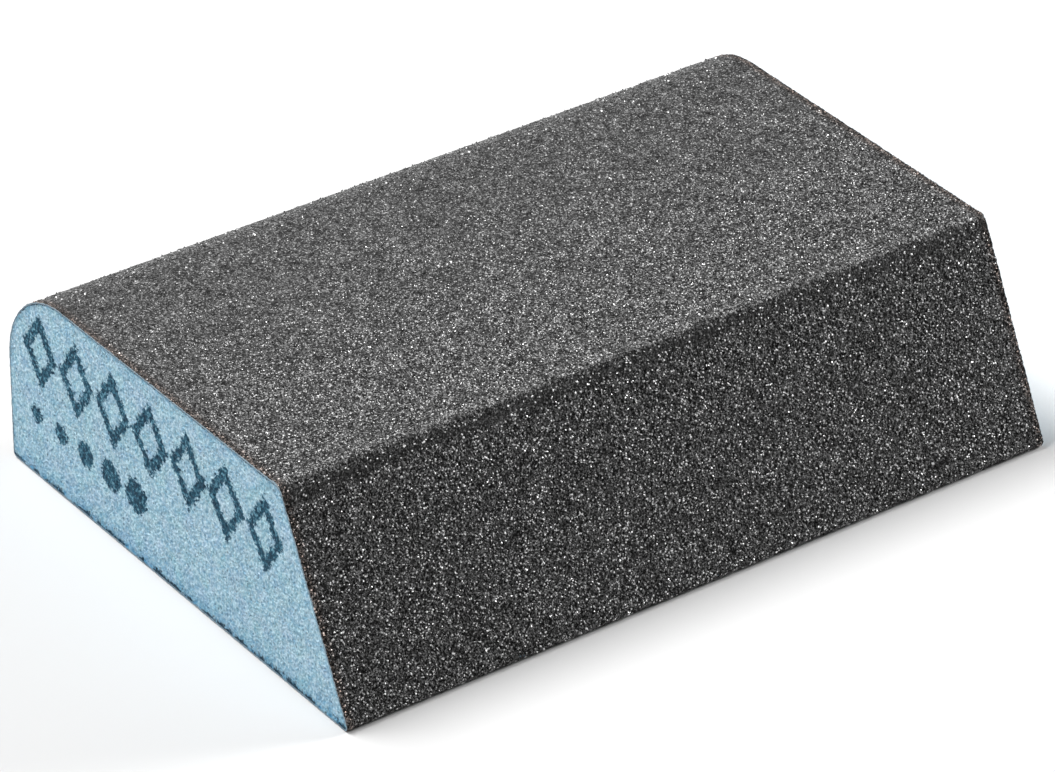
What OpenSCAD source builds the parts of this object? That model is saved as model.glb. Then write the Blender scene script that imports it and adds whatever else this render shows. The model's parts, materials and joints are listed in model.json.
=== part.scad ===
// Combination sanding block: a foam core with a coat of abrasive on its four long sides.
// One long side is slanted, for corners, and the edge opposite it is rounded, for curved work.
// Both ends are sawn, so they show the bare foam and the edges of the coats.
// X runs along the block, the slanted side faces -Y, and Z = 0 is the face it rests on.

/* [Block] */
// Length between the two sawn ends
block_l = 98; // [40:1:250]
// Width from the tip of the toe to the back, over the coats
block_w = 68; // [55:1:140]
// Height, over the coats
block_h = 25.4; // [20:0.1:40]

/* [Edges] */
// Angle between the base and the slanted side
slant_deg = 63.4; // [50:0.2:85]
// Radius of the foam's rounded edge, top back
round_r = 11.5; // [5:0.1:15]
// Radius of the foam's crease, between the top and the slanted side
crease_r = 1.4; // [0.5:0.1:3]
// Radius of the foam's sharp toe, between the base and the slanted side
toe_r = 0.3; // [0.2:0.1:1]
// Radius of the foam's heel, between the base and the rounded side
heel_r = 0.3; // [0.2:0.1:2]

/* [Coats] */
// Thickness of the flexible resin bond on the foam
bond_t = 0.1; // [0.1:0.05:0.5]
// Thickness of the grit layer that the bond holds
grit_t = 0.2; // [0.1:0.05:1]
// How far the coats of the rounded and the slanted side reach over the base and the top
lap = 1; // [0.5:0.1:3]

/* [Hidden] */

coat_t = bond_t + grit_t;

// How far the cuts between the coats run past the outline
past = 5;

// Each edge's circle is this much larger than one that would only touch its two sides, so that
// it crosses them cleanly
crossing = 0.0002;

// Colours
foam_blue = "#9fbfce";
resin_amber = "#7a5238";
grit_top_grey = "#6c6c6c";
grit_side_grey = "#454545";

// Numbers of the corners, counter-clockwise as seen from +X, which are also the numbers of
// the sides that start at them: base, rounded side, top, slanted side.
TOE = 0;
HEEL = 1;
ROUND = 2;
CREASE = 3;
BOTTOM_SIDE = TOE;
ROUNDED_SIDE = HEEL;
TOP_SIDE = ROUND;
SLANTED_SIDE = CREASE;

// Radius of each edge at the outside of the coats
edge_r = [toe_r + coat_t, heel_r + coat_t, round_r + coat_t, crease_r + coat_t];

// Where the base and the slanted side would meet: this far past the tip of the rounded toe
toe_y = -block_w / 2 - edge_r[TOE] * (1 / tan(slant_deg / 2) - 1);

// Where the finished block's sides would meet if no edge were rounded, as Y and Z
sharp = [
    [toe_y, 0],
    [block_w / 2, 0],
    [block_w / 2, block_h],
    [toe_y + block_h / tan(slant_deg), block_h]
];

// Inward unit normal of the side that starts at corner i
function inward(i) =
    let (along = sharp[(i + 1) % 4] - sharp[i])
    [-along[1], along[0]] / norm(along);

function before(i) = (i + 3) % 4;

// Centre of the edge's arc at corner i, the same for every layer
function centre(i) =
    sharp[i] + edge_r[i] * (inward(before(i)) + inward(i)) / (1 + inward(before(i)) * inward(i));

// The two ends of the arc at corner i, on the outline that lies depth inside the finished one
function arc_ends(i, depth) = [
    centre(i) - (edge_r[i] - depth) * inward(before(i)),
    centre(i) - (edge_r[i] - depth) * inward(i)
];

// Outline of the block at a depth below its finished surface
module outline(depth) {
    polygon([for (i = [TOE:CREASE]) each arc_ends(i, depth)]);
    for (i = [TOE:CREASE])
        translate(centre(i))
            circle(r = edge_r[i] - depth + crossing, $fn = 96);
}

// The point in the foam where the cuts to both sides of corner i meet. It is the centre of the
// corner's arc, moved inward by the lap.
function cut(i) = centre(i) + [centre(i)[0] > 0 ? -lap : lap, 0];

// The part of the section that belongs to one side. The coats of the rounded and the slanted
// side wrap their two edges, and the flat coats of the base and the top end against them.
module side_zone(side) {
    low = -past;
    high = block_h + past;
    start = cut(side);
    end = cut((side + 1) % 4);
    far = (side == ROUNDED_SIDE ? 1 : -1) * (block_w / 2 + past);
    if (side == BOTTOM_SIDE)
        polygon([[start[0], low], [end[0], low], end, start]);
    if (side == TOP_SIDE)
        polygon([[start[0], high], [end[0], high], end, start]);
    if (side == ROUNDED_SIDE)
        polygon([start, [start[0], low], [far, low], [far, high], [end[0], high], end]);
    if (side == SLANTED_SIDE)
        polygon([start, [start[0], high], [far, high], [far, low], [end[0], low], end]);
}

// Stands a Y-Z section along X, centred
module along_block() {
    rotate([90, 0, 90])
        linear_extrude(height = block_l, center = true)
            children();
}

// One side's layer, from one depth below the finished surface to another
module layer(side, depth, thickness) {
    along_block()
        intersection() {
            difference() {
                outline(depth);
                outline(depth + thickness);
            }
            side_zone(side);
        }
}

module grit(side) {
    layer(side, 0, grit_t);
}

module bond(side) {
    layer(side, grit_t, bond_t);
}

// Open-cell polyurethane foam, cut to the section and sawn to length
module foam_core() {
    color(foam_blue)
        along_block()
            outline(coat_t);
}

module bottom_bond() {
    color(resin_amber)
        bond(BOTTOM_SIDE);
}

module rounded_side_bond() {
    color(resin_amber)
        bond(ROUNDED_SIDE);
}

module top_bond() {
    color(resin_amber)
        bond(TOP_SIDE);
}

module slanted_side_bond() {
    color(resin_amber)
        bond(SLANTED_SIDE);
}

module bottom_grit() {
    color(grit_top_grey)
        grit(BOTTOM_SIDE);
}

module rounded_side_grit() {
    color(grit_side_grey)
        grit(ROUNDED_SIDE);
}

module top_grit() {
    color(grit_top_grey)
        grit(TOP_SIDE);
}

module slanted_side_grit() {
    color(grit_side_grey)
        grit(SLANTED_SIDE);
}

foam_core();
bottom_bond();
rounded_side_bond();
top_bond();
slanted_side_bond();
bottom_grit();
rounded_side_grit();
top_grit();
slanted_side_grit();
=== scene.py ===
"""Looks of a combination sanding block: open-cell foam, flexible resin bond and abrasive grit."""

import json
import math

import bpy
import numpy as np
from mathutils import Euler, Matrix, Vector, geometry, kdtree


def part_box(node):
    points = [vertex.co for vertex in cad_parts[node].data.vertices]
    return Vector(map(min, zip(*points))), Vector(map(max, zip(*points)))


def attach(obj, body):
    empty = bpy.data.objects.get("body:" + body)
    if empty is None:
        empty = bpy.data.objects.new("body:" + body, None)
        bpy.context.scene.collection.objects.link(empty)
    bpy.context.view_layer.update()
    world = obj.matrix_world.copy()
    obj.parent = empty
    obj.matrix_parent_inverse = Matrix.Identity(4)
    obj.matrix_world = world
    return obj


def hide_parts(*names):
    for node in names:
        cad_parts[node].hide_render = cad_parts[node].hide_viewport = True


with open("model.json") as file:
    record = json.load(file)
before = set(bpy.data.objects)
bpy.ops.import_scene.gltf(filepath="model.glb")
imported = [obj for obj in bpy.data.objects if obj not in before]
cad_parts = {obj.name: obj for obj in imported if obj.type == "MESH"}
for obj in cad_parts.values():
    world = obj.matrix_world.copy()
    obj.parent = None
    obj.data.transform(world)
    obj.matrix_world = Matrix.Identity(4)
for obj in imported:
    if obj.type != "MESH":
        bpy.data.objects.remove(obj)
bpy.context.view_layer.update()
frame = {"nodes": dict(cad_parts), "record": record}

bl_info = {
    "name": "Foam Sanding Block",
    "version": (1, 0, 0),
    "blender": (4, 5, 0),
    "location": "View3D > Sidebar > Sanding Block",
    "description": "Builds the foam, resin bond and abrasive grit of a sanding block",
    "category": "Add Mesh",
}

MM = 0.001
SIDES = ("bottom", "rounded_side", "top", "slanted_side")

# Numbers of the section's corners, counter-clockwise as seen from +X
TOE, HEEL, ROUND, CREASE = range(4)

# Spacing of the points on a long edge's arc, and the fewest that an arc gets
ARC_STEP = 0.05 * MM
ARC_POINTS = 6

# Most squares in a sheet of packed grain. Each is two triangles, and 200,000 is the limit.
MOST_SQUARES = 95000

# Where there is no print, a point counts as this far outside the ink
NO_INK = -1 * MM

# A side's map for the bake starts at this margin and fills this much of the picture's width
MAP_MARGIN = 0.005
MAP_SPAN = 0.98


# ------------------------------------------------------------------------- settings


class BlockShape(bpy.types.PropertyGroup):
    """The radii of the foam's long edges, and the thickness of the two coats on it."""

    toe_radius: bpy.props.FloatProperty(
        name="Toe Radius", description="Edge between the base and the slanted side",
        default=0.3 * MM, min=0, unit="LENGTH", precision=5)
    heel_radius: bpy.props.FloatProperty(
        name="Heel Radius", description="Edge between the base and the back",
        default=0.3 * MM, min=0, unit="LENGTH", precision=5)
    round_radius: bpy.props.FloatProperty(
        name="Rounded Edge Radius", description="Large rounded edge between the back and the top",
        default=11.5 * MM, min=0, unit="LENGTH", precision=5)
    crease_radius: bpy.props.FloatProperty(
        name="Crease Radius", description="Edge between the top and the slanted side",
        default=1.4 * MM, min=0, unit="LENGTH", precision=5)
    bond: bpy.props.FloatProperty(
        name="Bond Thickness", description="Thickness of the resin under the grit",
        default=0.1 * MM, min=0, unit="LENGTH", precision=5)
    grit: bpy.props.FloatProperty(
        name="Grit Thickness", description="Height of the packed grain above the bond",
        default=0.2 * MM, min=0, unit="LENGTH", precision=5)


class GritLook(bpy.types.PropertyGroup):
    """How coarse the abrasive is, and its colours."""

    facet: bpy.props.FloatProperty(
        name="Facet Size", description="Size of one facet of the packed grain",
        default=0.2 * MM, min=0.05 * MM, unit="LENGTH", precision=5)
    grain: bpy.props.FloatProperty(
        name="Grain Size", description="Mean size of the grains that stand proud",
        default=0.2 * MM, min=0.05 * MM, unit="LENGTH", precision=5)
    density: bpy.props.FloatProperty(
        name="Proud Grains", description="Grains that stand proud, for each square millimetre",
        default=6.0, min=0.1, max=7)
    ridge: bpy.props.FloatProperty(
        name="Crease Ridge", description="How far the grit heaps up along the crease",
        default=0.2 * MM, min=0, unit="LENGTH", precision=5)
    dark: bpy.props.StringProperty(
        name="Dark Grain", description="Colour of the darkest grains, as sRGB hex", default="#080808")
    bright: bpy.props.StringProperty(
        # Near white: partly pale grains, partly painted glints
        name="Bright Grain", description="Colour of the brightest grains, as sRGB hex", default="#f8f8f8")
    seed: bpy.props.IntProperty(name="Seed", description="Seed of the grit's random draws", default=7)


class FoamLook(bpy.types.PropertyGroup):
    """How coarse the foam is, and its colours."""

    cell: bpy.props.FloatProperty(
        name="Cell Size", description="Distance between the middles of two cells",
        default=0.5 * MM, min=0.1 * MM, unit="LENGTH", precision=5)
    spacing: bpy.props.FloatProperty(
        name="Point Spacing", description="Distance between the mesh points of the sawn ends",
        default=0.2 * MM, min=0.1 * MM, unit="LENGTH", precision=5)
    pit: bpy.props.FloatProperty(
        name="Cell Depth", description="How deep the opened cells go in from the saw cut",
        default=0.12 * MM, min=0, unit="LENGTH", precision=5)
    blue: bpy.props.StringProperty(
        name="Foam Blue", description="Colour of the foam, as sRGB hex", default="#9abaca")
    ink: bpy.props.StringProperty(
        name="Ink", description="Colour of the printed mark, as sRGB hex", default="#0f3246")
    seed: bpy.props.IntProperty(name="Seed", description="Seed of the foam's random draws", default=11)


def settings():
    """The three groups of settings of this scene."""
    scene = bpy.context.scene
    return scene.sanding_block_shape, scene.sanding_block_grit, scene.sanding_block_foam


# ------------------------------------------------------------------------- section


class Outline:
    """The foam's outline in Y and Z, by the length round it from the start of the toe's arc."""

    def __init__(self, shape):
        lo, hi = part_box("foam_core")
        face = next(m for m in frame["record"]["mounts"] if m["name"] == "slanted_face")
        slant = -face["axis"][2] / face["axis"][1]  # run of the slanted side for each unit of rise
        radii = (shape.toe_radius, shape.heel_radius, shape.round_radius, shape.crease_radius)
        half_angle = math.atan2(1, slant) / 2
        toe_y = lo.y - shape.toe_radius * (1 / math.tan(half_angle) - 1)
        crease_y = toe_y + slant * (hi.z - lo.z)
        corners = np.array([(toe_y, lo.z), (hi.y, lo.z), (hi.y, hi.z), (crease_y, hi.z)])
        along = [unit(corners[(i + 1) % 4] - corners[i]) for i in range(4)]
        inward = [np.array([-a[1], a[0]]) for a in along]

        points, normals, ends = [], [], []
        self.centres, self.radii, self.turns = [], radii, []
        for i, radius in enumerate(radii):
            before, after = inward[i - 1], inward[i]
            centre = corners[i] + radius * (before + after) / (1 + before @ after)
            start = math.atan2(-before[1], -before[0])
            turn = math.acos(before @ after)
            count = max(ARC_POINTS, round(radius * turn / ARC_STEP))
            for angle in np.linspace(start, start + turn, count):
                out = np.array([math.cos(angle), math.sin(angle)])
                points.append(centre + radius * out)
                normals.append(out)
            ends.append(len(points) - 1)
            self.centres.append(centre)
            self.turns.append(turn)
        self.points = np.array(points + points[:1])
        self.normals = np.array(normals + normals[:1])
        lengths = np.linalg.norm(np.diff(self.points, axis=0), axis=1)
        self.s = np.concatenate([[0], np.cumsum(lengths)])
        self.length = self.s[-1]
        self.flat_start = [self.s[e] for e in ends]

    def at(self, s, height):
        """Points at the lengths s and a height above the foam, as arrays of Y and of Z."""
        s = np.mod(s, self.length)
        y, z = (np.interp(s, self.s, self.points[:, k]) for k in (0, 1))
        out_y, out_z = (np.interp(s, self.s, self.normals[:, k]) for k in (0, 1))
        return y + out_y * height, z + out_z * height

    def corner_fill(self, corner, s):
        """How far a sharp corner would stand out from the corner's arc at the lengths s."""
        turn, radius = self.turns[corner], self.radii[corner]
        angle = turn - (self.flat_start[corner] - s) / radius
        off = np.maximum(np.cos(np.clip(angle, 0, turn)), np.cos(np.clip(turn - angle, 0, turn)))
        return radius * (1 / off - 1)

    def coarseness(self, side, s):
        """How coarse the coat is at the lengths s, from 0 to 1.

        It is fine on the back, grows coarser over the top towards the crease, and is thin and
        fine again in a narrow band just under the crease. On the slanted side the grit in that band
        is also painted darker, as painted shade.
        """
        crease = self.flat_start[CREASE]
        if side == "rounded_side":
            return np.zeros(s.shape)
        if side == "top":
            start = self.flat_start[ROUND]
            return smooth((s - start) / (crease - start))
        if side == "slanted_side":
            return 1 - 0.7 * bump(s, crease + 0.3 * MM, 0.9 * MM)
        return np.ones(s.shape)

    def heap(self, s):
        """How much of the crease's ridge lies at the lengths s, from 0 to 1."""
        return bump(s, self.flat_start[CREASE] - 1.5 * MM, 0.5 * MM)

    def coats(self):
        """The lengths at which each side's coat starts and ends."""
        cuts = []
        for side, corner in (("bottom", TOE), ("top", ROUND)):
            lo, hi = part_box(f"{side}_grit")
            edges = sorted(abs(y - self.centres[corner][0]) for y in (lo.y, hi.y))
            cuts += [self.flat_start[corner] + e for e in edges]
        cuts.append(cuts[0] + self.length)
        return {side: (cuts[i], cuts[i + 1]) for i, side in enumerate(SIDES)}


def unit(v):
    """The vector v at a length of 1."""
    return v / np.linalg.norm(v)


def smooth(t):
    """An even step from 0 to 1 as t goes from 0 to 1."""
    t = np.clip(t, 0, 1)
    return t * t * (3 - 2 * t)


def bump(s, middle, reach):
    """A smooth bump, 1 high at the middle and about a third as high at its reach."""
    return np.exp(-((s - middle) / reach) ** 2)


def lumps(rng, u, v, size):
    """Smooth random heights from 0 to 1 at the places (u, v), in lumps of one size."""
    u, v = (u - u.min()) / size, (v - v.min()) / size
    nodes = rng.random((int(u.max()) + 2, int(v.max()) + 2))
    i, j = u.astype(int), v.astype(int)
    fu, fv = smooth(u - i), smooth(v - j)
    near = nodes[i, j] * (1 - fu) + nodes[i + 1, j] * fu
    far = nodes[i, j + 1] * (1 - fu) + nodes[i + 1, j + 1] * fu
    return near * (1 - fv) + far * fv


# ------------------------------------------------------------------------- nodes and meshes


def srgb(code):
    """An sRGB hex colour as linear RGBA."""
    parts = [int(code[i:i + 2], 16) / 255 for i in (1, 3, 5)]
    return [p / 12.92 if p <= 0.04045 else ((p + 0.055) / 1.055) ** 2.4 for p in parts] + [1]


def add(tree, kind, options=None, inputs=None):
    """Adds a node, with its options and with a value or a link for each input that is given."""
    node = tree.nodes.new(kind)
    for name, value in (options or {}).items():
        if name == "stops":
            while len(node.color_ramp.elements) < len(value):
                node.color_ramp.elements.new(0.5)
            for stop, (place, colour) in zip(node.color_ramp.elements, value):
                stop.position = place
                stop.color = colour
        else:
            setattr(node, name, value)
    for name, value in (inputs or {}).items():
        if isinstance(value, bpy.types.NodeSocket):
            tree.links.new(value, node.inputs[name])
        else:
            node.inputs[name].default_value = value
    return node


def new_material(name):
    """A material with an empty node tree, and the tree."""
    material = bpy.data.materials.new(name)
    material.use_nodes = True
    material.node_tree.nodes.clear()
    return material, material.node_tree


def finish_material(tree, inputs):
    """Ends a material in a Principled shader with these inputs."""
    shader = add(tree, "ShaderNodeBsdfPrincipled", {}, inputs)
    add(tree, "ShaderNodeOutputMaterial", {}, {"Surface": shader.outputs["BSDF"]})


def new_piece(name, points, faces, uvs=None):
    """A mesh object at the origin. uvs are one pair for each corner of each face."""
    mesh = bpy.data.meshes.new(name)
    mesh.from_pydata(points, [], faces)
    if uvs is not None:
        layer = mesh.uv_layers.new(name="OFBake")
        layer.uv.foreach_set("vector", np.asarray(uvs, dtype=np.float32).ravel())
    piece = bpy.data.objects.new(name, mesh)
    bpy.context.scene.collection.objects.link(piece)
    return piece


def lay_values(piece, name, values):
    """Gives the piece's mesh an attribute, with one value for each point."""
    layer = piece.data.attributes.new(name, "FLOAT", "POINT")
    layer.data.foreach_set("value", np.asarray(values, dtype=np.float32))


def declare(piece, material_slot, *nodes):
    """The piece moves with the block and stands for CAD nodes, which are hidden. material_slot is not
    used.
    """
    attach(piece, "root")
    if nodes:
        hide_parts(*nodes)


# ------------------------------------------------------------------------- grit


def laid_tone(tree, place, grain, tone):
    """A grit tone as it is laid, for grains with a draw from 0 to 1.

    It is painted darker between the grains and between clusters of them, as painted shade in the
    hollows where the dark resin also lies, and lighter on high tips. The saw stains the pale grains
    near the cut, and foam dust clings to the cut itself.
    """
    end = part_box("foam_core")[1].x
    cluster = 1.3 * MM
    along = add(tree, "ShaderNodeSeparateXYZ", {}, {"Vector": place})
    from_middle = add(tree, "ShaderNodeMath", {"operation": "ABSOLUTE"}, {0: along.outputs["X"]})
    near_cut = add(tree, "ShaderNodeMapRange", {"interpolation_type": "SMOOTHERSTEP"}, {
        "Value": from_middle.outputs["Value"], "From Min": end - 1.5 * MM, "From Max": end - 0.2 * MM})
    stained = add(tree, "ShaderNodeMath", {"operation": "MULTIPLY"}, {
        0: near_cut.outputs["Result"], 1: grain})
    warm = add(tree, "ShaderNodeMix", {"data_type": "RGBA", "blend_type": "MULTIPLY"}, {
        0: stained.outputs["Value"], 6: tone, 7: srgb("#f0d6c8")})
    # Painted light and shade: high tips and clusters of grains are painted lighter, the hollows between
    # them darker
    clusters = add(tree, "ShaderNodeTexNoise", {}, {"Vector": place, "Scale": 1 / cluster, "Detail": 3})
    tip = add(tree, "ShaderNodeAttribute", {"attribute_name": "tip"})
    painted_light = add(tree, "ShaderNodeMath", {"operation": "MULTIPLY_ADD"}, {
        0: tip.outputs["Fac"], 1: 0.85, 2: clusters.outputs["Fac"]})
    painted_shade = add(tree, "ShaderNodeMapRange", {}, {
        "Value": painted_light.outputs["Value"], "From Min": 0.3, "From Max": 1.5, "To Min": 0.04, "To Max": 1.55})
    shaded = add(tree, "ShaderNodeMix", {"data_type": "RGBA", "blend_type": "MULTIPLY"}, {
        0: 1.0, 6: warm.outputs[2], 7: painted_shade.outputs["Result"]})
    cut = add(tree, "ShaderNodeMapRange", {}, {
        "Value": from_middle.outputs["Value"], "From Min": end - 0.05 * MM, "From Max": end - 0.02 * MM,
        "To Max": 0.9})
    dusty = add(tree, "ShaderNodeMix", {"data_type": "RGBA"}, {
        0: cut.outputs["Result"], 6: shaded.outputs[2], 7: srgb("#8ca3b0")})
    return dusty.outputs[2]


def packed_grit_material(look):
    """Aluminium oxide grain, packed close and wetted by a thin size coat of resin.

    Each grain is a split crystal, so one facet is dull black next to one that is grey. Where
    the coat is laid fine, the facets even out. Real grain of 0.1 mm is too fine to show, so
    the cells are drawn nearly half as large again.
    """
    cell = 0.7 * look.grain
    material, tree = new_material("aluminium oxide grit, size coated")
    place = add(tree, "ShaderNodeTexCoord").outputs["Object"]
    cells = add(tree, "ShaderNodeTexVoronoi", {}, {"Vector": place, "Scale": 1 / cell})
    grain = cells.outputs["Color"]
    # The palest cells, up to near white, are partly pale grain and partly painted glints
    tone = add(tree, "ShaderNodeValToRGB", {"stops": [
        (0.15, srgb(look.dark)), (0.4, srgb("#1e1e1e")), (0.55, srgb("#404040")),
        (0.7, srgb("#6c6c6c")), (0.85, srgb("#9c9c9c")), (1.0, srgb(look.bright))]}, {"Fac": grain})
    coarse = add(tree, "ShaderNodeAttribute", {"attribute_name": "coarse"})
    level = add(tree, "ShaderNodeMapRange", {}, {
        "Value": coarse.outputs["Fac"], "To Min": 0.28, "To Max": 0.0})
    evened = add(tree, "ShaderNodeMix", {"data_type": "RGBA"}, {
        0: level.outputs["Result"], 6: tone.outputs["Color"], 7: srgb("#5a5a5a")})
    gloss = add(tree, "ShaderNodeMapRange", {}, {"Value": grain, "To Min": 0.5, "To Max": 0.25})
    finish_material(tree, {
        "Base Color": laid_tone(tree, place, grain, evened.outputs[2]),
        "Roughness": gloss.outputs["Result"],
        "Specular IOR Level": 0.15,
    })
    return material


def proud_grit_material(look):
    """Silicon carbide grains that stand proud: sharp, glassy and near black.

    Their high index makes a facet flash white where it turns to the light. About one grain in
    four is a pale crystal of aluminium oxide, painted near white so that it is bright from every
    side: partly pale grain, partly a painted glint. Real grains of
    0.1 mm are too fine to show, so they are drawn about twice as large.
    """
    material, tree = new_material("silicon carbide grains")
    place = add(tree, "ShaderNodeTexCoord").outputs["Object"]
    grain = add(tree, "ShaderNodeAttribute", {"attribute_name": "grain"}).outputs["Fac"]
    tone = add(tree, "ShaderNodeValToRGB", {"stops": [
        (0.0, srgb(look.dark)), (0.46, srgb("#1c1c1c")), (0.66, srgb("#7c7c7c")),
        (0.76, srgb(look.bright))]}, {"Fac": grain})
    gloss = add(tree, "ShaderNodeMapRange", {}, {"Value": grain, "To Min": 0.45, "To Max": 0.25})
    finish_material(tree, {
        "Base Color": laid_tone(tree, place, grain, tone.outputs["Color"]),
        "Roughness": gloss.outputs["Result"],
        "IOR": 2.2,
    })
    return material


def side_map(x, s, half):
    """Places on a side's map of the points at x and at the length s from its coat's start."""
    return np.stack([x + half, s], -1) / (2 * half) * MAP_SPAN + MAP_MARGIN


def shaken_grid(rng, half, start, end, facet):
    """A grid of points over a side, as x and as length, shaken out of line inside its edges."""
    shake = 0.36
    step = max(facet, math.sqrt((end - start) * 2 * half / MOST_SQUARES))
    nx, ns = round(2 * half / step) + 1, round((end - start) / step) + 1
    x, s = np.meshgrid(np.linspace(-half, half, nx), np.linspace(start, end, ns), indexing="ij")
    x[1:-1] += step * rng.uniform(-shake, shake, (nx - 2, ns))
    s[:, 1:-1] += step * rng.uniform(-shake, shake, (nx, ns - 2))
    return x, s


def packed_surface(rng, side, outline, x, s, shape, look):
    """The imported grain's height above the foam, how high each tip is and how coarse the coat."""
    lump, fill_lump, ridge_lump = 0.7 * MM, 1.1 * MM, 0.8 * MM
    from_end = 2.5 * MM
    least = 0.01 * MM
    tip = rng.random(x.shape)
    coarse = outline.coarseness(side, s)
    heap = outline.heap(s)
    # On the slanted side the tips are lower in the band under the crease, so the grit there is painted
    # darker as painted shade, and higher on the crease's ridge, where it is painted lighter
    if side == "slanted_side":
        tip = tip * (0.4 + 0.6 * coarse) + 0.35 * heap
    height = shape.bond + shape.grit * (0.1 + tip * (0.4 + 0.4 * coarse))
    height += shape.grit * 0.3 * (lumps(rng, x, s, lump) - 0.5)
    if side == "slanted_side":
        # The coat fills the crease out, nearly to a sharp edge, but less so near the two ends
        inside = smooth((x.max() - np.abs(x)) / from_end)
        fill = (0.25 + 0.65 * inside) * (0.9 + 0.2 * lumps(rng, x, s, fill_lump))
        height += outline.corner_fill(CREASE, s) * fill
        height += look.ridge * heap * lumps(rng, x, s, ridge_lump)
    return np.maximum(height, shape.bond + least), tip, coarse


def sheet_faces(rng, rows, under):
    """Faces that close a sheet, with outward normals.

    rows holds the numbers of the outer points, and under those of the two rows beneath its cut
    ends. Each square of the outside is split across one diagonal or the other, at random.
    """
    a, b, c, d = rows[:-1, :-1], rows[1:, :-1], rows[1:, 1:], rows[:-1, 1:]
    flip = rng.random(a.shape) < 0.5
    one = np.where(flip[..., None], np.stack([a, b, c], -1), np.stack([a, b, d], -1))
    two = np.where(flip[..., None], np.stack([a, c, d], -1), np.stack([b, c, d], -1))
    faces = np.concatenate([one.reshape(-1, 3), two.reshape(-1, 3)]).tolist()
    for j in range(rows.shape[1] - 1):
        faces.append([under[0, j], under[0, j + 1], under[1, j + 1], under[1, j]])
        faces.append([rows[0, j], rows[0, j + 1], under[0, j + 1], under[0, j]])
        faces.append([rows[-1, j + 1], rows[-1, j], under[1, j], under[1, j + 1]])
    faces.append([under[0, 0], under[1, 0], *rows[::-1, 0]])
    faces.append([*rows[:, -1], under[1, -1], under[0, -1]])
    return [[int(v) for v in reversed(f)] for f in faces]


def packed_grain(rng, side, outline, start, end, shape, look, material):
    """One side's layer of packed grain: a closed sheet with a random facet for each grain."""
    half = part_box(f"{side}_grit")[1].x
    x, s = shaken_grid(rng, half, start, end, look.facet)
    height, tip, coarse = packed_surface(rng, side, outline, x, s, shape, look)
    y, z = outline.at(s, height)
    outer = np.stack([x, y, z], -1).reshape(-1, 3)
    rows = np.arange(x.size).reshape(x.shape)

    ends = [0, -1]
    y, z = outline.at(s[ends], np.full(s[ends].shape, shape.bond))
    inner = np.stack([x[ends], y, z], -1).reshape(-1, 3)
    under = x.size + np.arange(len(inner)).reshape(2, -1)
    faces = sheet_faces(rng, rows, under)

    # The underside is hidden, so its map is small and lies above that of the outside
    small, corner = 0.3, (0.01, 0.75)
    above = side_map(x, s - start, half).reshape(-1, 2)
    below = np.stack([(x[ends] + half) * small, (s[ends] - start) * small], -1).reshape(-1, 2)
    places = np.concatenate([above, below / (2 * half) + corner])
    uvs = places[np.concatenate(faces)]
    piece = new_piece(f"{side}_packed_grit", np.concatenate([outer, inner]), faces, uvs)
    for name, values in (("tip", tip), ("coarse", coarse)):
        lay_values(piece, name, np.concatenate([values.ravel(), np.zeros(len(inner))]))
    piece.data.materials.append(material)
    piece.data.validate()
    return piece


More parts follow.
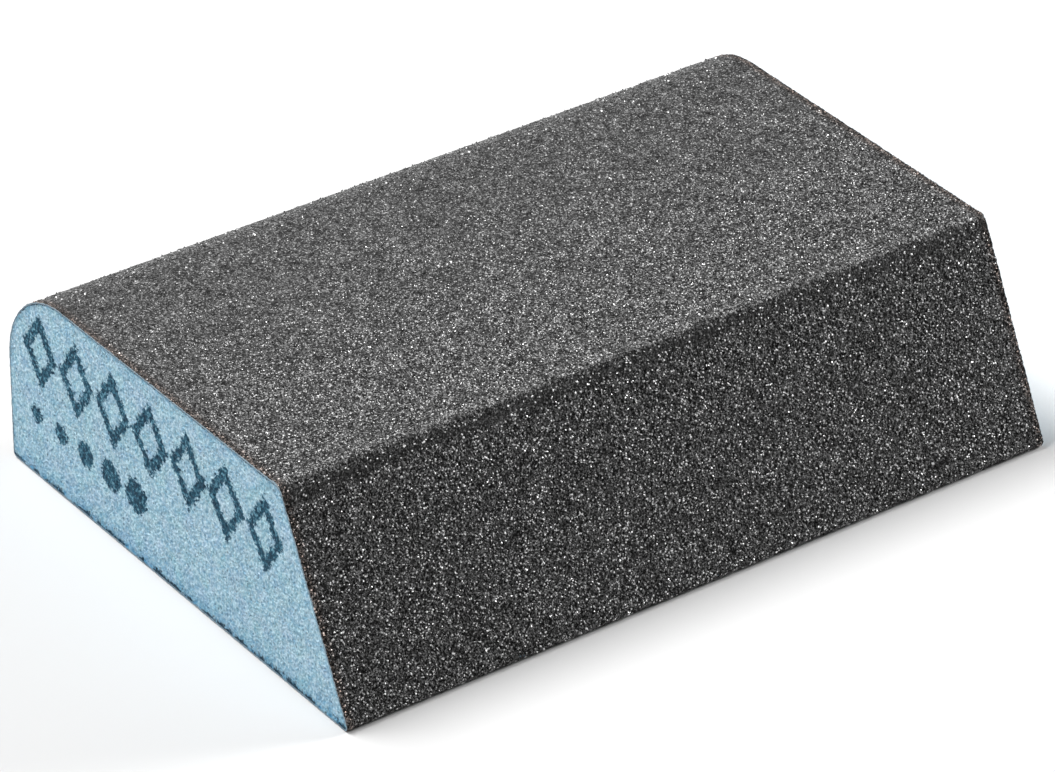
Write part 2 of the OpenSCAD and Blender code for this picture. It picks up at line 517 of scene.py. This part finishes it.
def scatter_tree(material):
    """Grains set at random on a surface, each turned and stretched its own way.

    A grain is an octahedron. Its attribute "grain" is a draw from 0 to 1, which tones it, and its
    attribute "tip" is that of a high packed grain, so it gets the same painted light as one.
    """
    thinnest, longest = 0.5, 1.5
    tone_seed = 3
    # The tip of a high packed grain, which sets the proud grains' painted light
    painted_tip_light = 0.8
    tree = bpy.data.node_groups.new("Scatter Grains", "GeometryNodeTree")
    sockets = tree.interface
    sockets.new_socket("Geometry", in_out="INPUT", socket_type="NodeSocketGeometry")
    for name, kind, value in (
        ("Density", "NodeSocketFloat", 1.0),
        ("Size", "NodeSocketFloat", 1.0),
        ("Seed", "NodeSocketInt", 0),
    ):
        sockets.new_socket(name, in_out="INPUT", socket_type=kind).default_value = value
    sockets.new_socket("Geometry", in_out="OUTPUT", socket_type="NodeSocketGeometry")
    given = add(tree, "NodeGroupInput").outputs
    crowding = add(tree, "GeometryNodeInputNamedAttribute", {"data_type": "FLOAT"}, {"Name": "crowding"})
    crowd = add(tree, "ShaderNodeMath", {"operation": "MULTIPLY"}, {
        0: crowding.outputs["Attribute"], 1: given["Density"]})
    points = add(tree, "GeometryNodeDistributePointsOnFaces", {"distribute_method": "RANDOM"}, {
        "Mesh": given["Geometry"], "Density": crowd.outputs["Value"], "Seed": given["Seed"]})
    turn = add(tree, "FunctionNodeRandomValue", {"data_type": "FLOAT_VECTOR"}, {
        "Max": (2 * math.pi,) * 3, "Seed": given["Seed"]})
    stretch = add(tree, "FunctionNodeRandomValue", {"data_type": "FLOAT_VECTOR"}, {
        "Min": (thinnest,) * 3, "Max": (longest,) * 3, "Seed": given["Seed"]})
    size = add(tree, "ShaderNodeVectorMath", {"operation": "SCALE"}, {
        "Vector": stretch.outputs["Value"], "Scale": given["Size"]})
    crystal = add(tree, "GeometryNodeMeshUVSphere", {}, {"Segments": 4, "Rings": 2, "Radius": 0.5})
    placed = add(tree, "GeometryNodeInstanceOnPoints", {}, {
        "Points": points.outputs["Points"], "Instance": crystal.outputs["Mesh"],
        "Rotation": turn.outputs["Value"], "Scale": size.outputs["Vector"]})
    draw = add(tree, "FunctionNodeRandomValue", {"data_type": "FLOAT"}, {"Seed": tone_seed})
    toned = add(tree, "GeometryNodeStoreNamedAttribute", {"data_type": "FLOAT", "domain": "INSTANCE"}, {
        "Geometry": placed.outputs["Instances"], "Name": "grain", "Value": draw.outputs[1]})
    raised = add(tree, "GeometryNodeStoreNamedAttribute", {"data_type": "FLOAT", "domain": "INSTANCE"}, {
        "Geometry": toned.outputs["Geometry"], "Name": "tip", "Value": painted_tip_light})
    real = add(tree, "GeometryNodeRealizeInstances", {}, {"Geometry": raised.outputs["Geometry"]})
    flat = add(tree, "GeometryNodeSetShadeSmooth", {}, {
        "Geometry": real.outputs["Geometry"], "Shade Smooth": False})
    done = add(tree, "GeometryNodeSetMaterial", {}, {
        "Geometry": flat.outputs["Geometry"], "Material": material})
    add(tree, "NodeGroupOutput", {}, {"Geometry": done.outputs["Geometry"]})
    return tree


def proud_grain(side, outline, start, end, shape, look, tree, number):
    """The grains that stand proud of one side's packed layer, about half sunk into it."""
    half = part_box(f"{side}_grit")[1].x - 0.5 * look.grain
    margin = 0.3 * look.grain
    row = 0.3 * MM
    s = np.arange(start + margin, end - margin, row)
    y, z = outline.at(s, np.full(s.shape, shape.bond + 0.55 * shape.grit))
    points = [(x, py, pz) for x in (-half, half) for py, pz in zip(y, z)]
    faces = [(i, i + len(s), i + len(s) + 1, i + 1) for i in range(len(s) - 1)]
    carrier = new_piece(f"{side}_carrier", points, faces)
    crowding = 0.1 + outline.coarseness(side, s)
    if side == "bottom":
        # The base is the largest side. With fewer grains it stays under 200,000 triangles.
        crowding *= 0.54
    lay_values(carrier, "crowding", np.tile(crowding, 2))
    nodes = carrier.modifiers.new("grains", "NODES")
    nodes.node_group = tree
    # The top is laid with finer grains than the other sides
    size = look.grain * (0.9 if side == "top" else 1.2)
    values = {"Density": look.density / MM ** 2, "Size": size, "Seed": look.seed + number}
    for item in tree.interface.items_tree:
        if item.in_out == "INPUT" and item.name in values:
            nodes[item.identifier] = values[item.name]
    evaluated = carrier.evaluated_get(bpy.context.evaluated_depsgraph_get())
    mesh = bpy.data.meshes.new_from_object(evaluated)
    bpy.data.objects.remove(carrier)
    mesh.name = f"{side}_proud_grit"
    piece = bpy.data.objects.new(mesh.name, mesh)
    bpy.context.scene.collection.objects.link(piece)
    lay_map(mesh, outline, start, end, half)
    return piece


def lay_map(mesh, outline, start, end, half):
    """Lays the bake's map over the side, so that each grain has the place where it stands."""
    step, height = 0.1 * MM, 0.2 * MM
    batches = 40  # enough to keep each table of gaps small
    points = np.empty(len(mesh.vertices) * 3, dtype=np.float32)
    mesh.vertices.foreach_get("co", points)
    points = points.reshape(-1, 3)
    s = np.arange(start, end, step)
    y, z = outline.at(s, np.full(s.shape, height))
    nearest = np.empty(len(points))
    for batch in np.array_split(np.arange(len(points)), batches):
        gap = (points[batch, 1, None] - y) ** 2 + (points[batch, 2, None] - z) ** 2
        nearest[batch] = s[gap.argmin(axis=1)] - start
    places = side_map(points[:, 0], nearest, half)
    corners = np.empty(len(mesh.loops), dtype=np.int32)
    mesh.loops.foreach_get("vertex_index", corners)
    for layer in list(mesh.uv_layers):
        mesh.uv_layers.remove(layer)
    layer = mesh.uv_layers.new(name="OFBake")
    layer.uv.foreach_set("vector", places[corners].astype(np.float32).ravel())


class SANDING_BLOCK_OT_grit(bpy.types.Operator):
    """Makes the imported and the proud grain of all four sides"""

    bl_idname = "sanding_block.grit"
    bl_label = "Abrasive Grit"

    def execute(self, context):
        shape, look, _ = settings()
        outline = Outline(shape)
        rng = np.random.default_rng(look.seed)
        packed_look = packed_grit_material(look)
        tree = scatter_tree(proud_grit_material(look))
        for number, (side, (start, end)) in enumerate(outline.coats().items()):
            packed = packed_grain(rng, side, outline, start, end, shape, look, packed_look)
            declare(packed, "grit", f"{side}_grit")
            proud = proud_grain(side, outline, start, end, shape, look, tree, number)
            declare(proud, "grit")
        return {"FINISHED"}


# ------------------------------------------------------------------------- bond


def bond_material():
    """Flexible phenolic resin, knife coated: a dull gloss at the cut, with amber patches.

    Foam dust from the saw clings to it, so it looks blue-grey from a little way off.
    """
    patch = 0.8 * MM
    material, tree = new_material("flexible phenolic resin")
    place = add(tree, "ShaderNodeTexCoord").outputs["Object"]
    blotch = add(tree, "ShaderNodeTexNoise", {}, {"Vector": place, "Scale": 1 / patch, "Detail": 3})
    tone = add(tree, "ShaderNodeValToRGB", {"stops": [
        (0.35, srgb("#526674")), (0.6, srgb("#6f8695")), (0.72, srgb("#7c6a5c"))]},
        {"Fac": blotch.outputs["Fac"]})
    dull = add(tree, "ShaderNodeMapRange", {}, {
        "Value": blotch.outputs["Fac"], "To Min": 0.35, "To Max": 0.6})
    finish_material(tree, {"Base Color": tone.outputs["Color"], "Roughness": dull.outputs["Result"]})
    return material


class SANDING_BLOCK_OT_bond(bpy.types.Operator):
    """Gives the resin bond under each side's grit its material"""

    bl_idname = "sanding_block.bond"
    bl_label = "Resin Bond"

    def execute(self, context):
        material = bond_material()
        for side in SIDES:
            mesh = frame["nodes"][f"{side}_bond"].data
            mesh.materials.clear()
            mesh.materials.append(material)
        return {"FINISHED"}


# ------------------------------------------------------------------------- foam


def foam_material(look):
    """Open-cell polyurethane foam, sawn: a matt pale blue, mottled by the opened cells, whose middles and
    deeper holes are darkened by painted shade.

    The resin soaks into the foam along the coats and turns it a deeper blue, and along the base
    the foam is painted a deeper blue and darker. A thin dark rim at the top edges is painted shade
    under the coats' edges. The ink sinks into the cells, so its edges are ragged. Real cells of about
    0.3 mm are too fine to show, so they are drawn a little coarser.
    """
    patch, cell, strut, open_cell = 2.2 * MM, 0.36 * MM, 0.42 * MM, 0.55 * MM
    material, tree = new_material("open-cell polyurethane foam")
    place = add(tree, "ShaderNodeTexCoord").outputs["Object"]
    patches = add(tree, "ShaderNodeTexNoise", {}, {"Vector": place, "Scale": 1 / patch, "Detail": 2})
    cells = add(tree, "ShaderNodeTexVoronoi", {}, {"Vector": place, "Scale": 1 / cell})
    fine = add(tree, "ShaderNodeTexNoise", {}, {"Vector": place, "Scale": 1 / strut, "Detail": 2})
    tone = add(tree, "ShaderNodeValToRGB", {"stops": [
        (0.32, srgb("#7fa8bf")), (0.5, srgb(look.blue)), (0.68, srgb("#bad6e2"))]},
        {"Fac": fine.outputs["Fac"]})
    tint = add(tree, "ShaderNodeMix", {"data_type": "RGBA", "blend_type": "SOFT_LIGHT"}, {
        0: 0.16, 6: tone.outputs["Color"], 7: patches.outputs["Color"]})
    # Painted shade: each opened cell is painted darker towards its middle, and the deeper holes darker
    # still
    pit_shade = add(tree, "ShaderNodeMapRange", {}, {
        "Value": cells.outputs["Distance"], "From Max": 0.6, "To Min": 0.8, "To Max": 1.08})
    shaded = add(tree, "ShaderNodeMix", {"data_type": "RGBA", "blend_type": "MULTIPLY"}, {
        0: 1.0, 6: tint.outputs[2], 7: pit_shade.outputs["Result"]})
    deep = add(tree, "ShaderNodeTexVoronoi", {}, {"Vector": place, "Scale": 1 / open_cell})
    speck = add(tree, "ShaderNodeMath", {"operation": "MULTIPLY_ADD"}, {
        0: deep.outputs["Color"], 1: 0.45, 2: deep.outputs["Distance"]})
    hole_shade = add(tree, "ShaderNodeMapRange", {}, {
        "Value": speck.outputs["Value"], "From Min": 0.22, "From Max": 0.42, "To Min": 0.5})
    with_hole_shade = add(tree, "ShaderNodeMix", {"data_type": "RGBA", "blend_type": "MULTIPLY"}, {
        0: 1.0, 6: shaded.outputs[2], 7: hole_shade.outputs["Result"]})
    soak = add(tree, "ShaderNodeAttribute", {"attribute_name": "soak"}).outputs["Fac"]
    wet = add(tree, "ShaderNodeMix", {"data_type": "RGBA"}, {
        0: soak, 6: with_hole_shade.outputs[2], 7: srgb("#3f86ad")})
    # The rim paints a thin dark line: painted shade under the coats' edges at the top, and a darker
    # ragged line along the base
    rim = add(tree, "ShaderNodeAttribute", {"attribute_name": "rim"}).outputs["Fac"]
    ticks = add(tree, "ShaderNodeMath", {"operation": "MULTIPLY_ADD"}, {
        0: fine.outputs["Fac"], 1: 1.4, 2: rim})
    edge = add(tree, "ShaderNodeMapRange", {}, {
        "Value": ticks.outputs["Value"], "From Min": 0.95, "From Max": 1.25, "To Max": 0.95})
    soaked = add(tree, "ShaderNodeMix", {"data_type": "RGBA"}, {
        0: edge.outputs["Result"], 6: wet.outputs[2], 7: srgb("#0e2a3a")})
    ink = add(tree, "ShaderNodeAttribute", {"attribute_name": "ink"}).outputs["Fac"]
    soaking = add(tree, "ShaderNodeMath", {"operation": "MULTIPLY_ADD"}, {
        0: cells.outputs["Color"], 1: 0.6, 2: ink})
    inked = add(tree, "ShaderNodeMapRange", {}, {
        "Value": soaking.outputs["Value"], "From Min": 0.16, "From Max": 0.46, "To Max": 0.97})
    hue = add(tree, "ShaderNodeValToRGB", {"stops": [
        (0.4, srgb(look.ink)), (0.55, srgb("#1f566c")), (0.72, srgb("#6c9cb0"))]},
        {"Fac": fine.outputs["Fac"]})
    printed = add(tree, "ShaderNodeMix", {"data_type": "RGBA"}, {
        0: inked.outputs["Result"], 6: soaked.outputs[2], 7: hue.outputs["Color"]})
    finish_material(tree, {"Base Color": printed.outputs[2], "Roughness": 0.95, "IOR": 1.4})
    return material


def diamond_row(start, y, z):
    """How far each point lies inside the stroke of a row of diamond outlines, in metres."""
    diamonds, pitch, middle = 7, 7.6 * MM, 17.5 * MM
    half_width, half_height, stroke = 2.8 * MM, 3.9 * MM, 1.4 * MM
    across = (start - y) / pitch
    run = (np.mod(across, 1) - 0.5) * pitch
    reach = np.abs(run) / half_width + np.abs(z - middle) / half_height
    slope = 1 / math.hypot(1 / half_width, 1 / half_height)
    inside = stroke / 2 - np.abs(reach - 1) * slope
    return np.where((across < 0) | (across > diamonds), NO_INK, inside)


def dot_row(start, y, z):
    """How far each point lies inside a row of dots, each larger than the last, in metres."""
    dots, pitch, middle = 5, 5.2 * MM, 8.4 * MM
    first_radius, growth = 1.1 * MM, 0.28 * MM
    across = (start - y) / pitch
    number = np.floor(across)
    run = (across - number - 0.5) * pitch
    inside = first_radius + growth * number - np.hypot(run, z - middle)
    return np.where((number < 0) | (number >= dots), NO_INK, inside)


def printed_mark(y, z):
    """How far each point of a sawn end lies inside a plain mark, in metres."""
    start = 31 * MM
    return np.maximum(diamond_row(start, y, z), dot_row(start, y, z))


def edge_lengths(outline):
    """Lengths round the outline of the foam's edge points: close on the arcs, but never too close."""
    spacing, least = 0.2 * MM, 0.04 * MM
    s = np.arange(0, outline.length, spacing)
    s = np.unique(np.concatenate([s, outline.s[:-1]]))
    return s[np.concatenate([[True], np.diff(s) > least])]


def sawn_end(rng, edge, step):
    """Points of one sawn end, their gaps to the edge and its triangles.

    edge holds the points round the end, which come first.
    """
    row = 0.87 * step  # for near enough equilateral triangles
    shake, least_gap, merge = 0.3, 0.5 * step, 1e-9
    lo, hi = edge.min(axis=0), edge.max(axis=0)
    rows = enumerate(np.arange(lo[1], hi[1], row))
    grid = [(y + (k % 2) * step / 2, z) for k, z in rows for y in np.arange(lo[0], hi[0], step)]
    inside = np.array(grid) + step * rng.uniform(-shake, shake, (len(grid), 2))
    gap = np.full(len(inside), np.inf)
    for i in range(len(edge)):
        a, b = edge[i], edge[(i + 1) % len(edge)]
        out = np.array([b[1] - a[1], a[0] - b[0]]) / np.linalg.norm(b - a)
        gap = np.minimum(gap, (a - inside) @ out)
    kept = gap > least_gap
    points = np.concatenate([edge, inside[kept]])
    gap = np.concatenate([np.zeros(len(edge)), gap[kept]])
    loop = [list(range(len(edge)))]
    only_inside = 1
    result = geometry.delaunay_2d_cdt([Vector(p) for p in points], [], loop, only_inside, merge)
    return points, gap, [list(f) for f in result[2]]


def cell_depth(rng, points, cell):
    """How deep each point lies in its opened cell, from 0 on a wall to 1 in the middle.

    With it comes a draw from 0 to 1 for each point, the same all over a cell.
    """
    shake, steepness = 0.45, 1.4
    lo, hi = points.min(axis=0) - cell, points.max(axis=0) + cell
    y, z = np.meshgrid(np.arange(lo[0], hi[0], cell), np.arange(lo[1], hi[1], cell))
    middles = np.stack([y.ravel(), z.ravel()], -1)
    middles += cell * rng.uniform(-shake, shake, middles.shape)
    tree = kdtree.KDTree(len(middles))
    for i, (y, z) in enumerate(middles):
        tree.insert((y, z, 0), i)
    tree.balance()
    depth, number = [], []
    for y, z in points:
        (_, first, near), (_, _, far) = tree.find_n((y, z, 0), 2)
        depth.append((far - near) / cell)
        number.append(first)
    draws = rng.random(len(middles))
    return smooth(np.array(depth) * steepness), draws[number]


def end_relief(rng, points, edge_count, look):
    """How far each point of a sawn end lies below the saw's plane, and its cell's draw."""
    waves, wave_depth, edge_depth = 1.5 * MM, 0.05 * MM, 0.06 * MM
    depth, draw = cell_depth(rng, points, look.cell)
    depth = look.pit * depth * (0.5 + draw)
    depth += wave_depth * lumps(rng, points[:, 0], points[:, 1], waves)
    depth[:edge_count] = edge_depth * rng.random(edge_count)
    return depth, draw


def edge_darkening(rng, points, gap, draw):
    """How much deeper blue each point of a sawn end is, and how dark its rim is.

    Both are strongest along the base, which is painted darker. Elsewhere round the edge they show most at
    the top, where the resin soaks in along the coats and the thin dark rim is painted shade under the
    coats' edges.
    """
    base_soak, soak = 1.4 * MM, 0.45 * MM
    base_rim, rim, tick = 0.5 * MM, 0.07 * MM, 1.1 * MM
    upper, rise = 19 * MM, 4 * MM
    base = points[:, 1] - points[:, 1].min()
    top = smooth((points[:, 1] - upper) / rise)
    along_base = 0.65 * np.exp(-base / base_soak) * (0.3 + draw)
    along_edge = 0.4 * np.exp(-gap / soak) * (0.3 + 0.7 * top) * (0.5 + draw)
    ticks = 0.2 + 1.1 * lumps(rng, points[:, 0], points[:, 1], tick)
    # Painted shade: a thin dark rim under the coats' edges at the top. Along the base the rim is painted
    # as a darker ragged line.
    dark = np.maximum(0.75 * top * np.exp(-gap / rim), 0.85 * ticks * np.exp(-base / base_rim))
    return along_base + along_edge, dark


def end_map(points, faces):
    """The bake's map of the two sawn ends, one above the other and both above the skin's."""
    margin, span = 0.02, 0.96
    near_row, far_row = 0.26, 0.62
    flat = points[:, 1:] - points[:, 1:].min(axis=0)
    places = margin + span * flat / flat[:, 0].max()
    places[:, 1] += np.where(points[:, 0] < 0, near_row, far_row)
    return [places[v] for f in faces for v in f]


def skin(s, length, other):
    """Faces of the foam's long sides, which join its two ends, and their places on the map.

    The near end's edge points are numbered from 0, and the far end's from other.
    """
    margin, span, low, painted_tip_light = 0.02, 0.96, 0.01, 0.25
    turns = margin + span * np.append(s, length) / length
    faces, uvs = [], []
    for i in range(len(s)):
        j = (i + 1) % len(s)
        faces.append([i, j, other + j, other + i])
        uvs += [(turns[i], low), (turns[i + 1], low), (turns[i + 1], painted_tip_light), (turns[i], painted_tip_light)]
    return faces, uvs


class SANDING_BLOCK_OT_foam(bpy.types.Operator):
    """Makes the foam core, with its sawn ends and the mark printed on the near one"""

    bl_idname = "sanding_block.foam"
    bl_label = "Foam Core"

    def execute(self, context):
        shape, _, look = settings()
        outline = Outline(shape)
        rng = np.random.default_rng(look.seed)
        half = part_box("foam_core")[1].x
        s = edge_lengths(outline)
        edge = np.stack(outline.at(s, np.zeros(s.shape)), -1)
        cell_bleed, point_bleed = 0.4 * MM, 0.3 * MM

        points, faces, ink, soak, rim = [], [], [], [], []
        for way in (-1, 1):
            first = len(points)
            flat, gap, triangles = sawn_end(rng, edge, look.spacing)
            depth, draw = end_relief(rng, flat, len(edge), look)
            points += [(way * (half - d), y, z) for d, (y, z) in zip(depth, flat)]
            faces += [[first + v for v in (t if way > 0 else t[::-1])] for t in triangles]
            ragged = cell_bleed * (draw - 0.5) + point_bleed * (rng.random(len(flat)) - 0.5)
            mark = printed_mark(flat[:, 0], flat[:, 1]) if way < 0 else NO_INK
            ink.extend((mark + ragged) / MM)
            soaked, dark = edge_darkening(rng, flat, gap, draw)
            soak.extend(soaked)
            rim.extend(dark)
        uvs = end_map(np.array(points), faces)
        # The loop leaves first at the number of the far end's first point
        skin_faces, skin_uvs = skin(s, outline.length, first)
        piece = new_piece("foam_block", points, faces + skin_faces, uvs + skin_uvs)
        for name, values in (("ink", ink), ("soak", soak), ("rim", rim)):
            lay_values(piece, name, values)
        piece.data.materials.append(foam_material(look))
        piece.data.validate()
        declare(piece, "foam", "foam_core")
        return {"FINISHED"}


# ------------------------------------------------------------------------- stage


def plain_material(name, colour, roughness):
    """Matt painted board, rolled: plain and pale, with no visible grain."""
    material, tree = new_material(name)
    finish_material(tree, {"Base Color": srgb(colour), "Roughness": roughness})
    return material


def soft_light(name, place, aim, size, power):
    """A square softbox at a place, facing another."""
    light = bpy.data.lights.new(name, "AREA")
    light.shape = "SQUARE"
    light.size = size
    light.energy = power
    lamp = bpy.data.objects.new(name, light)
    lamp.location = place
    lamp.rotation_euler = (Vector(aim) - Vector(place)).to_track_quat("-Z", "Y").to_euler()
    bpy.context.scene.collection.objects.link(lamp)


class SANDING_BLOCK_OT_stage(bpy.types.Operator):
    """Makes the floor, the soft light and the camera"""

    bl_idname = "sanding_block.stage"
    bl_label = "Stage"

    def execute(self, context):
        scene = context.scene
        reach = 3.0  # half of the floor's width, in metres
        corners = [(-reach, -reach, 0), (reach, -reach, 0), (reach, reach, 0), (-reach, reach, 0)]
        floor = new_piece("floor", corners, [(0, 1, 2, 3)])
        floor.data.materials.append(plain_material("painted board", "#d4d4d4", 0.9))

        # The key light comes from above and behind, the side light rakes along the slanted side
        # and lights up its grains, and the fill lights the near end
        middle = (0, 0, 0.012)
        soft_light("key", place=(-0.25, 0.7, 1.2), aim=middle, size=0.5, power=27)
        soft_light("side", place=(1.1, -0.15, 0.42), aim=middle, size=0.4, power=15.5)
        soft_light("fill", place=(-1.0, 0.2, 0.5), aim=middle, size=0.6, power=4)

        world = bpy.data.worlds.new("studio")
        world.use_nodes = True
        background = world.node_tree.nodes["Background"].inputs
        background["Color"].default_value = srgb("#ffffff")
        background["Strength"].default_value = 0.07
        scene.world = world
        scene.view_settings.view_transform = "Standard"

        # The camera looks from the front left and from above, with a long lens
        azimuth, elevation, roll = (math.radians(a) for a in (-36.13, 32.43, 0.31))
        distance = 0.7294
        aim = Vector((-0.00109, -0.00105, 0.00989))
        back = Vector((
            math.sin(azimuth) * math.cos(elevation),
            -math.cos(azimuth) * math.cos(elevation),
            math.sin(elevation),
        ))
        lens = bpy.data.cameras.new("camera")
        lens.lens = 217
        lens.clip_start = 0.05
        camera = bpy.data.objects.new("camera", lens)
        camera.location = aim + distance * back
        turn = (-back).to_track_quat("-Z", "Y").to_matrix()
        camera.rotation_euler = (turn @ Euler((0, 0, roll)).to_matrix()).to_euler()
        scene.collection.objects.link(camera)
        scene.camera = camera
        return {"FINISHED"}


# ------------------------------------------------------------------------- add-on


class VIEW3D_PT_sanding_block(bpy.types.Panel):
    """Lists the steps that build the block"""

    bl_label = "Sanding Block"
    bl_space_type = "VIEW_3D"
    bl_region_type = "UI"
    bl_category = "Sanding Block"

    def draw(self, context):
        for group in settings():
            for name in group.__annotations__:
                self.layout.prop(group, name)
        for step in STEPS:
            self.layout.operator(step.bl_idname)


STEPS = (SANDING_BLOCK_OT_stage, SANDING_BLOCK_OT_foam, SANDING_BLOCK_OT_bond, SANDING_BLOCK_OT_grit)
GROUPS = {
    "sanding_block_shape": BlockShape,
    "sanding_block_grit": GritLook,
    "sanding_block_foam": FoamLook,
}


def register():
    """Adds the classes and the scene's settings."""
    for cls in (*GROUPS.values(), *STEPS, VIEW3D_PT_sanding_block):
        bpy.utils.register_class(cls)
    for name, cls in GROUPS.items():
        setattr(bpy.types.Scene, name, bpy.props.PointerProperty(type=cls))


def unregister():
    """Takes the settings and the classes away again."""
    for name in GROUPS:
        delattr(bpy.types.Scene, name)
    for cls in (VIEW3D_PT_sanding_block, *STEPS, *GROUPS.values()):
        bpy.utils.unregister_class(cls)


def main():
    """Builds the block and its stage."""
    register()
    bpy.ops.sanding_block.stage()
    bpy.ops.sanding_block.foam()
    bpy.ops.sanding_block.bond()
    bpy.ops.sanding_block.grit()


if __name__ == "__main__":
    main()
